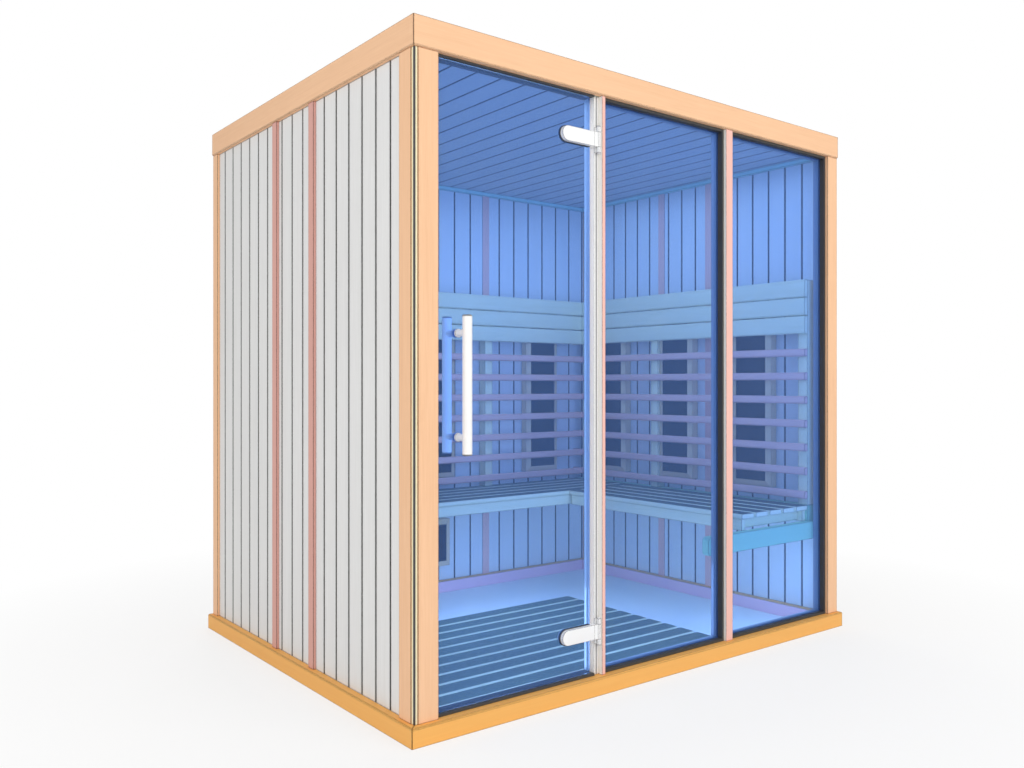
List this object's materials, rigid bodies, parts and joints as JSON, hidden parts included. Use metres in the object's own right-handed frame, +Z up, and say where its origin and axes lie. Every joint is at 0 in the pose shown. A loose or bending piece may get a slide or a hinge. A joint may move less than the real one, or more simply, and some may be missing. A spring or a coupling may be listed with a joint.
{
  "type": "infrared sauna cabin",
  "caption": "Timber infrared sauna cabin with a glazed front, an outward-opening hinged glass door, an L-shaped slatted bench, slatted backrests and flat heaters behind them.",
  "frame": {"origin": "on the floor, under the middle of the cabin's base", "axes": "+X to the right seen from the front, +Y from the glazed front to the back wall, +Z up"},
  "size_m": [2.058, 1.595, 2],
  "materials": {
    "base_wood": "oiled orange softwood",
    "frame_wood": "planed peach softwood",
    "wall_boards": "pale grey tongue-and-groove boards",
    "batten_wood": "planed pink softwood",
    "bench_wood": "sanded cream hardwood",
    "rail_wood": "mint painted timber",
    "ceiling_boards": "pale boards",
    "floor_board": "pale matt board",
    "roof_plywood": "plain plywood",
    "tinted_glass": "blue tinted toughened glass",
    "glazing_rubber": "dark grey glazing liner",
    "white_hardware": "white powder coat",
    "heater_casing": "peach frame round a black emitter",
    "control_casing": "black moulded casing"
  },
  "bodies": {
    "cabin": {"base_rail_front": "base_wood", "base_rail_right": "base_wood", "base_rail_back": "base_wood", "base_rail_left": "base_wood", "floor_board": "floor_board", "duckboard": "bench_wood", "left_wall_front_panel": "wall_boards", "left_wall_middle_panel": "wall_boards", "left_wall_rear_panel": "wall_boards", "left_wall_front_batten": "batten_wood", "left_wall_rear_batten": "batten_wood", "right_wall": "wall_boards", "back_wall": "wall_boards", "front_left_stile": "frame_wood", "left_side_stile": "frame_wood", "corner_bead": "bench_wood", "front_right_post": "frame_wood", "back_left_post": "frame_wood", "back_right_post": "frame_wood", "hinge_post": "batten_wood", "door_jamb": "white_hardware", "mullion": "batten_wood", "fascia_front": "frame_wood", "fascia_right": "frame_wood", "fascia_back": "frame_wood", "fascia_left": "frame_wood", "cornice": "ceiling_boards", "ceiling": "ceiling_boards", "roof_panel": "roof_plywood", "control_box": "control_casing", "centre_liner": "glazing_rubber", "centre_pane": "tinted_glass", "right_liner": "glazing_rubber", "right_pane": "tinted_glass", "door_sill_strip": "glazing_rubber", "door_head_strip": "glazing_rubber", "lower_hinge_bracket": "white_hardware", "lower_hinge_pin": "white_hardware", "upper_hinge_bracket": "white_hardware", "upper_hinge_pin": "white_hardware", "right_bench": "bench_wood", "back_bench": "bench_wood", "bench_front_rail": "rail_wood", "bench_wall_ledger": "rail_wood", "right_backrest": "bench_wood", "back_backrest": "bench_wood", "right_heater_front": "heater_casing", "right_heater_middle": "heater_casing", "right_heater_rear": "heater_casing", "back_heater_left": "heater_casing", "back_heater_middle": "heater_casing", "back_heater_right": "heater_casing", "leg_heater": "heater_casing"},
    "door": {"door_glass": "tinted_glass", "handle_outer_bar": "white_hardware", "handle_inner_bar": "white_hardware", "handle_standoff_lower": "white_hardware", "handle_standoff_upper": "white_hardware", "lower_hinge_leaf": "white_hardware", "upper_hinge_leaf": "white_hardware"}
  },
  "joints": [
    {"name": "door_hinge", "type": "hinge", "parent": "cabin", "child": "door", "pos_m": [-0.31633, -0.761, 0.985], "axis": [0, 0, 1], "range_deg": [0, 110]}
  ]
}
